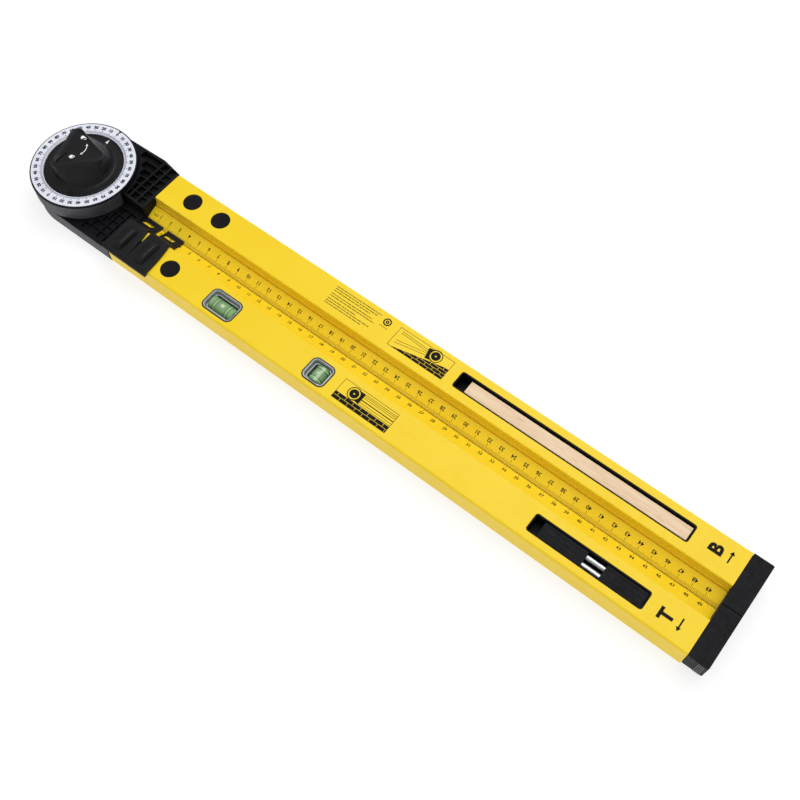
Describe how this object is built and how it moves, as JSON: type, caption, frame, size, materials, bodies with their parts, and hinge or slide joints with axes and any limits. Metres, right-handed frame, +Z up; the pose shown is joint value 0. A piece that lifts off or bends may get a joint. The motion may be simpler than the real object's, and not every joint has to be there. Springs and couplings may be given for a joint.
{
  "type": "two-arm angle finder bevel",
  "caption": "Folding locking bevel with angle dial, ruler lips, level vials, sliding markers, pencil slot and end caps.",
  "frame": {"origin": "on the pivot axis, at the underside of the arms, where the head of the pivot bolt is flush", "axes": "+X along the folded arms from the pivot to the end caps, +Y towards the outer edge of the fixed arm, +Z up the pivot axis towards the locking knob"},
  "size_m": [0.6183, 0.0868, 0.045],
  "materials": {
    "yellow_coat": "fine satin powder coat on extruded aluminium",
    "black_plastic": "moulded nylon, fine spark texture",
    "dial_white": "satin white with printed figures",
    "steel": "zinc plated steel",
    "brass": "turned brass",
    "fibre": "pressed friction fibre",
    "pencil_wood": "unvarnished pencil wood",
    "graphite": "carpenter's pencil lead",
    "clear_acrylic": "clear moulded acrylic",
    "vial_green": "green spirit in a clear tube"
  },
  "bodies": {
    "fixed_arm": {"b_rail": "yellow_coat", "upper_housing": "black_plastic", "dial_ring": "dial_white", "b_end_cap": "black_plastic", "b_plug_near": "black_plastic", "b_plug_far": "black_plastic", "b_screw_near": "steel", "b_screw_far": "steel", "b_cap_screw": "steel", "pencil_tray": "black_plastic", "pivot_bush": "brass"},
    "pencil": {"pencil_wood": "pencil_wood", "pencil_lead": "graphite"},
    "swing_arm": {"t_rail": "yellow_coat", "lower_housing": "black_plastic", "t_end_cap": "black_plastic", "t_plug_near": "black_plastic", "t_plug_far": "black_plastic", "t_screw_near": "steel", "t_screw_far": "steel", "t_cap_screw": "steel", "vial_block_long": "clear_acrylic", "vial_tube_long": "vial_green", "vial_block_cross": "clear_acrylic", "vial_tube_cross": "vial_green", "insert_tray": "black_plastic", "pivot_bolt": "steel", "pointer_disc": "black_plastic", "friction_washer": "fibre"},
    "insert": {"insert_block_near": "black_plastic", "insert_block_far": "black_plastic", "insert_rod_1": "steel", "insert_rod_2": "steel"},
    "knob": {"lock_knob": "black_plastic", "knob_insert": "brass", "thrust_washer": "steel"},
    "slider_near": {"slider_near": "black_plastic"},
    "slider_far": {"slider_far": "black_plastic"}
  },
  "joints": [
    {"name": "arm_hinge", "type": "hinge", "parent": "fixed_arm", "child": "swing_arm", "pos_m": [0, 0, 0], "axis": [0, 0, -1], "range_deg": [0, 180]},
    {"name": "knob_turn", "type": "hinge", "parent": "swing_arm", "child": "knob", "pos_m": [0, 0, 0.0286], "axis": [0, 0, 1], "range_deg": [0, 60]},
    {"name": "slider_near_slide", "type": "slide", "parent": "swing_arm", "child": "slider_near", "axis": [1, 0, 0], "range_m": [0, 0.2275]},
    {"name": "slider_far_slide", "type": "slide", "parent": "slider_near", "child": "slider_far", "axis": [1, 0, 0], "range_m": [0, 0.2275]},
    {"name": "pencil_lift", "type": "slide", "parent": "fixed_arm", "child": "pencil", "axis": [0, 0, 1], "range_m": [0, 0.014]},
    {"name": "insert_lift", "type": "slide", "parent": "swing_arm", "child": "insert", "axis": [0, 0, 1], "range_m": [0, 0.014]}
  ]
}
